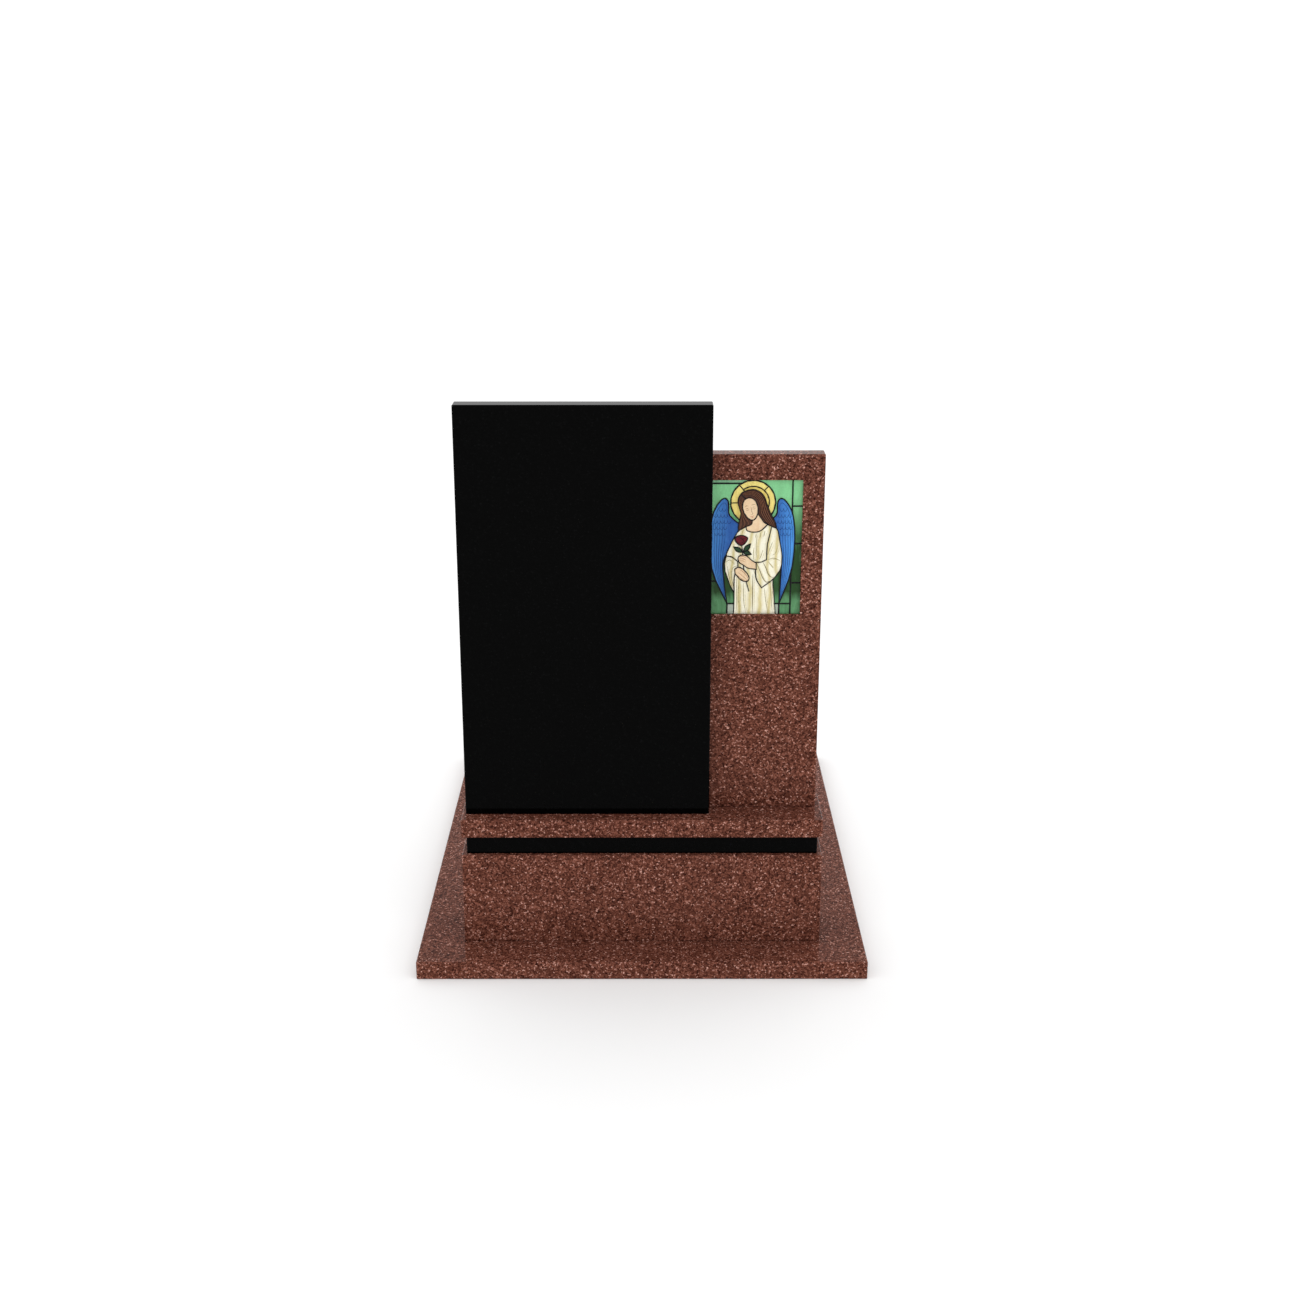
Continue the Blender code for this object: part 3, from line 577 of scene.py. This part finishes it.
green = glass("green_glass", tone(140, 216, 154), tone(32, 70, 26), 0.5, axis="Up",
              stops=((0.0, 0.6), (0.1, 0.66), (0.17, 1.0), (0.5, 1.0), (0.64, 0.72), (0.76, 0.3), (0.88, 0.08)))
pale_green = glass("pale_green_glass", tone(164, 222, 176), tone(92, 166, 114), 1.0, blend=0.3)
grey = glass("grey_glass", tone(198, 208, 192), tone(150, 164, 148), 0.9)
finish(panes("background"), green)
finish(panes("background", 1), pale_green)
finish(panes("background", 13, 15), grey)
finish(panes("halo_ring"), glass("gold_glass", tone(255, 238, 142), tone(184, 150, 66), 0.9, axis="Up",
                                 stops=((0.66, 0.9), (0.76, 0.35), (1.0, 0.1))))
finish(panes("halo_inner"), glass("amber_glass", tone(250, 230, 128), tone(194, 160, 74), 0.9))
finish(panes("wing"), glass("blue_glass", tone(80, 156, 234), tone(34, 84, 162), 0.6, axis="Across",
                            stops=((0.45, 0.9), (0.62, 0.6), (0.8, 0.1))))
finish(panes("hair"), glass("brown_glass", tone(96, 58, 42), tone(40, 22, 17), 1.0))
finish(panes("face") + panes("neck") + panes("hand"),
       glass("flesh_glass", tone(251, 226, 188), tone(222, 174, 130), 0.8, blend=0.25))
finish(panes("robe") + panes("sleeve"), glass("cream_glass", tone(255, 251, 230), tone(222, 208, 152), 0.9,
                                              axis="Pleats", stops=((0.0, 0.95), (0.4, 0.3), (1.0, 0.0))))
finish(panes("rose"), glass("ruby_glass", tone(128, 24, 40), tone(58, 8, 18), 1.2))
finish(panes("leaf"), glass("leaf_glass", tone(44, 82, 50), tone(16, 36, 20), 1.0))


# Glass paint: fine lines of fired brown and coloured enamel, brushed on the front of the glass. They
# draw the locks of hair, the feathers, the folds of the robe, the fingers, the petals and the face.
GLASS_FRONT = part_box("glass_robe_01")[0][1]
PAINT_RISE = 0.00010
BRUSH_TIP = 0.06  # radians of the taper left off at each end
LOCK_POINTS = 60
BRUSH = np.array([(-1, 0), (-0.5, 1), (0.5, 1), (1, 0), (0.6, -0.4), (-0.6, -0.4)]) * (1, PAINT_RISE)
SOFT_FOLD_SHIFT = (1.2, -0.8)  # a paler line beside each fold


def strokes(name, lines, width, colour):
    """Painted lines as low ridges, full in the middle and drawn out thin at both ends. Width is in the
    picture's units."""
    parts = []
    for points in lines:
        taper = np.sqrt(np.sin(np.linspace(BRUSH_TIP, math.pi - BRUSH_TIP, len(points))))
        parts.append(swept(points, width * UNIT_X / 2 * taper, BRUSH, GLASS_FRONT, -1.0))
    made, tree, shader = material(name, 0.55, 0.1)
    place = tree.nodes.new("ShaderNodeTexCoord").outputs["Object"]
    thin = texture(tree, "ShaderNodeTexNoise", 260.0, place, detail=3.0).outputs["Fac"]
    full, sparse = (tuple(share * value for value in colour) for share in (0.75, 1.5))
    link(tree, mix(tree, ramp(tree, thin, (0.3, 0.0), (0.7, 1.0)), full, sparse), shader.inputs["Base Color"])
    new_piece(name, parts, made)


def between(first, second, shares):
    """Lines that lie between two edges, each at its share of the way."""
    a, b = smooth(first), smooth(second)
    steps = np.linspace(0, 1, LOCK_POINTS)
    ends = [np.stack([np.interp(steps, np.linspace(0, 1, len(edge)), edge[:, axis]) for axis in (0, 1)], axis=1)
            for edge in (a, b)]
    return [ends[0] * (1 - share) + ends[1] * share for share in shares]


HAIR_RIGHT = ([(-8.0, 89.6), (-4.0, 91.6), (0.0, 92.2), (4.8, 90.2), (8.0, 86.4), (10.0, 81.0), (12.9, 74.0),
               (15.8, 68.8), (17.0, 64.6)],
              [(-6.8, 88.0), (-3.8, 88.1), (0.2, 87.3), (3.3, 84.4), (4.8, 80.0), (4.8, 75.4), (6.9, 71.2),
               (9.6, 68.2), (11.8, 66.8)])
HAIR_LEFT = ([(-9.6, 87.2), (-10.2, 83.4), (-9.6, 79.6), (-8.6, 75.8), (-9.4, 72.0), (-10.2, 67.0), (-10.0, 63.6)],
             [(-6.6, 86.2), (-7.9, 82.0), (-7.7, 78.4), (-6.6, 74.6), (-4.8, 71.6), (-1.9, 69.2), (-1.2, 67.4),
              (-3.6, 65.6)])
FEATHER_INNER = [(19.2, 74.0), (18.4, 66.0), (17.8, 58.0), (19.6, 46.0), (20.4, 34.0), (20.6, 22.0), (20.4, 12.0)]
FEATHER_OUTER = [(27.6, 70.0), (29.0, 62.0), (29.4, 52.0), (28.9, 42.0), (27.4, 31.0), (24.6, 21.0), (21.2, 12.0)]
WING_BAND = [(16.6, 71.6), (18.6, 74.2), (18.9, 80.2), (20.6, 82.8), (23.4, 80.6), (26.2, 75.2), (28.2, 66.0),
             (28.9, 54.0)]
SCALLOP_WIDTH = 2.5
SCALLOP_TIP = np.array([(0.0, 0.0), (0.3, -1.6), (1.25, -2.5), (2.2, -1.6), (SCALLOP_WIDTH, 0.0)])
SCALLOP_ROWS = ((79.0, 19.4, 2), (74.5, 18.0, 4), (70.0, 15.6, 5), (65.5, 18.6, 4),
                (61.0, 19.7, 3))  # height, where the row starts, how many tips it has
FOLDS = ([(-9.4, 24.5), (-9.2, 12.0), (-8.4, 0.4)], [(-6.0, 23.0), (-5.6, 10.0), (-3.9, 0.4)],
         [(9.2, 19.5), (10.6, 9.0), (12.2, 0.4)], [(13.6, 25.0), (14.4, 12.0), (15.6, 0.4)],
         [(-11.2, 28.0), (-10.6, 12.0), (-10.8, 2.0)], [(3.2, 59.0), (2.8, 50.0), (3.4, 42.0)],
         [(-6.6, 63.0), (-7.6, 60.0)], [(1.2, 50.0), (0.8, 44.0), (1.6, 39.6)],
         [(7.6, 48.0), (6.4, 43.5), (5.2, 41.0)],
         [(2.6, 60.0), (2.2, 57.0)], [(6.0, 61.0), (5.4, 57.0)], [(9.0, 62.4), (8.0, 57.6)],
         [(14.6, 54.0), (11.0, 43.8)], [(18.6, 51.6), (17.0, 46.0), (14.6, 44.0)],
         [(11.0, 40.6), (16.0, 41.8), (20.4, 39.6)], [(11.6, 39.4), (15.4, 34.4)],
         [(1.0, 33.6), (3.4, 27.0), (6.0, 20.6)], [(-18.6, 42.6), (-14.6, 43.2), (-11.0, 39.8)],
         [(-19.2, 38.8), (-15.8, 40.4), (-12.8, 37.0)], [(-14.6, 31.0), (-13.8, 34.6), (-10.6, 36.2)],
         [(-16.8, 30.0), (-15.4, 24.0), (-13.4, 18.4)], [(-15.0, 32.6), (-14.4, 26.0), (-13.0, 20.0)],
         [(-17.8, 36.0), (-16.6, 28.0)])
STRONG_FOLDS = ([(0.8, 30.0), (0.9, 15.0), (0.9, 0.4)],
                [(3.2, 38.4), (6.0, 32.0), (8.0, 27.0), (10.6, 23.9), (14.8, 25.2)],
                [(8.0, 38.8), (10.4, 33.8), (11.8, 30.0), (14.2, 27.6), (16.4, 27.6)])
FINGERS = ([(-9.4, 42.6), (-6.4, 43.0), (-3.8, 41.6)], [(-9.8, 41.2), (-6.8, 41.4), (-4.2, 40.2)],
           [(-9.6, 39.8), (-7.0, 39.8), (-4.8, 38.8)], [(-8.6, 33.2), (-5.2, 30.4), (-2.6, 26.6)],
           [(-9.8, 31.0), (-6.4, 28.2), (-3.2, 25.2)], [(-10.8, 29.2), (-8.0, 26.8), (-5.0, 24.9)])
PETALS = ([(-11.8, 56.6), (-9.0, 57.4), (-6.2, 56.6), (-4.4, 57.0)], [(-10.6, 55.4), (-8.2, 56.4), (-6.0, 55.2)],
          [(-10.0, 54.2), (-8.2, 53.2), (-6.4, 54.4), (-7.0, 55.6), (-8.6, 55.4)],
          [(-11.4, 54.8), (-9.6, 52.6), (-7.4, 52.2)], [(-5.6, 54.6), (-6.4, 52.6)])
EYES = ([(1.1, 0.0), (1.8, -0.45), (2.7, -0.45), (3.5, 0.1)], [(1.4, 0.9), (2.4, 0.8), (3.4, 1.0)],
        [(1.0, 2.4), (2.4, 3.0), (3.9, 2.3)])  # closed lid, crease and brow of one side, for both
NOSE = [(0.5, 2.0), (0.6, 0.0), (0.4, -2.4), (0.9, -3.6), (0.0, -4.2), (-0.8, -3.8)]
LIPS = ([(-1.5, -5.5), (-0.6, -5.4), (0.0, -5.55), (0.6, -5.4), (1.5, -5.5)],
        [(-0.8, -6.1), (0.0, -6.35), (0.8, -6.1)])


def scallops():
    """Rows of short feathers on the right wing: a round tip hangs below each pair of neighbouring points."""
    return [smooth(SCALLOP_TIP + (first + SCALLOP_WIDTH * item, height))
            for height, first, count in SCALLOP_ROWS for item in range(count)]


feathers = [*between(FEATHER_INNER, FEATHER_OUTER, (0.17, 0.33, 0.5, 0.67, 0.83)), smooth(WING_BAND),
            *scallops()]
feathers += [left_wing(line) for line in feathers]
locks = [*between(*HAIR_RIGHT, np.linspace(0.1, 0.9, 9)), *between(*HAIR_LEFT, (0.2, 0.35, 0.5, 0.65, 0.8))]
features = [smooth(turned(np.array(line) * (side, 1), FACE_CENTRE, FACE_TILT))
            for line in EYES for side in (-1, 1)]
features.append(smooth(turned(NOSE, FACE_CENTRE, FACE_TILT)))
lips = [smooth(turned(line, FACE_CENTRE, FACE_TILT)) for line in LIPS]
strokes("paint_feathers", feathers, 0.30, tone(16, 40, 96))
strokes("paint_dark_locks", locks[::2], 0.42, tone(26, 13, 9))
strokes("paint_light_locks", locks[1::2], 0.34, tone(122, 80, 56))
strokes("paint_folds", [smooth(line) for line in FOLDS], 0.46, tone(150, 138, 92))
strokes("paint_soft_folds", [smooth(line)[2:-2] + SOFT_FOLD_SHIFT for line in FOLDS + STRONG_FOLDS], 0.34,
        tone(198, 186, 136))
strokes("paint_strong_folds", [smooth(line) for line in STRONG_FOLDS], 0.62, tone(112, 102, 64))
strokes("paint_fingers", [smooth(line) for line in FINGERS], 0.3, tone(150, 96, 62))
strokes("paint_petals", [smooth(line) for line in PETALS], 0.36, tone(34, 5, 10))
strokes("paint_features", features, 0.3, tone(112, 72, 48))
strokes("paint_lips", lips, 0.36, tone(176, 92, 78))


# Floor, light and camera: a plain pale studio floor under an even white sky and one broad soft lamp,
# seen from in front and above, a little right of the headstone's middle.
FLOOR_HALF = 12.0
FLOOR_SQUARES = 12
SKY_STRENGTH = 1.15
LAMP_SIZE = 3.0
LAMP_POWER = 12.0
LAMP_PLACE = (1.5, -3.5, 4.0)
LAMP_TIP = 45
LAMP_TURN = 22
CAMERA_PLACE = (0.0131, -3.9399, 1.8322)
CAMERA_DIP = 18.371
CAMERA_TURN = -0.066
LENS = 48.91


def floor():
    """A square sheet on a grid, flat at z = 0, with a faint unevenness in its white."""
    points = FLOOR_SQUARES + 1
    reach = np.linspace(-FLOOR_HALF, FLOOR_HALF, points)
    x, y = np.meshgrid(reach, reach)
    row, column = np.meshgrid(np.arange(FLOOR_SQUARES), np.arange(FLOOR_SQUARES), indexing="ij")
    first = (row * points + column).ravel()
    mesh = bpy.data.meshes.new("floor")
    mesh.from_pydata(np.stack([x.ravel(), y.ravel(), np.zeros(x.size)], axis=1), [],
                     np.stack([first, first + 1, first + points + 1, first + points], axis=1).tolist())
    piece = bpy.data.objects.new("floor", mesh)
    bpy.context.scene.collection.objects.link(piece)
    made, tree, shader = material("studio_floor", 0.9, 0.0)
    place = tree.nodes.new("ShaderNodeTexCoord").outputs["Object"]
    cast = texture(tree, "ShaderNodeTexNoise", 1.5, place, detail=2.0).outputs["Fac"]
    link(tree, mix(tree, cast, (0.95, 0.95, 0.95), (0.97, 0.97, 0.97)), shader.inputs["Base Color"])
    mesh.materials.append(made)


def lights_and_camera():
    """White surroundings, one broad area lamp, and the camera at the photograph's angle."""
    world = bpy.data.worlds.new("studio")
    world.use_nodes = True
    sky = world.node_tree.nodes["Background"]
    sky.inputs["Color"].default_value = (1.0, 1.0, 1.0, 1.0)
    sky.inputs["Strength"].default_value = SKY_STRENGTH
    bpy.context.scene.world = world
    lamp = bpy.data.lights.new("key", "AREA")
    lamp.size = LAMP_SIZE
    lamp.energy = LAMP_POWER
    key = bpy.data.objects.new("key", lamp)
    key.location = LAMP_PLACE
    key.rotation_euler = (math.radians(LAMP_TIP), 0, math.radians(LAMP_TURN))
    bpy.context.scene.collection.objects.link(key)
    eye = bpy.data.cameras.new("camera")
    eye.sensor_width = 36.0
    eye.lens = LENS
    camera = bpy.data.objects.new("camera", eye)
    camera.location = CAMERA_PLACE
    camera.rotation_euler = (math.radians(90 - CAMERA_DIP), 0, math.radians(CAMERA_TURN))
    bpy.context.scene.collection.objects.link(camera)
    bpy.context.scene.camera = camera


floor()
lights_and_camera()
bpy.context.scene.view_settings.view_transform = "Standard"
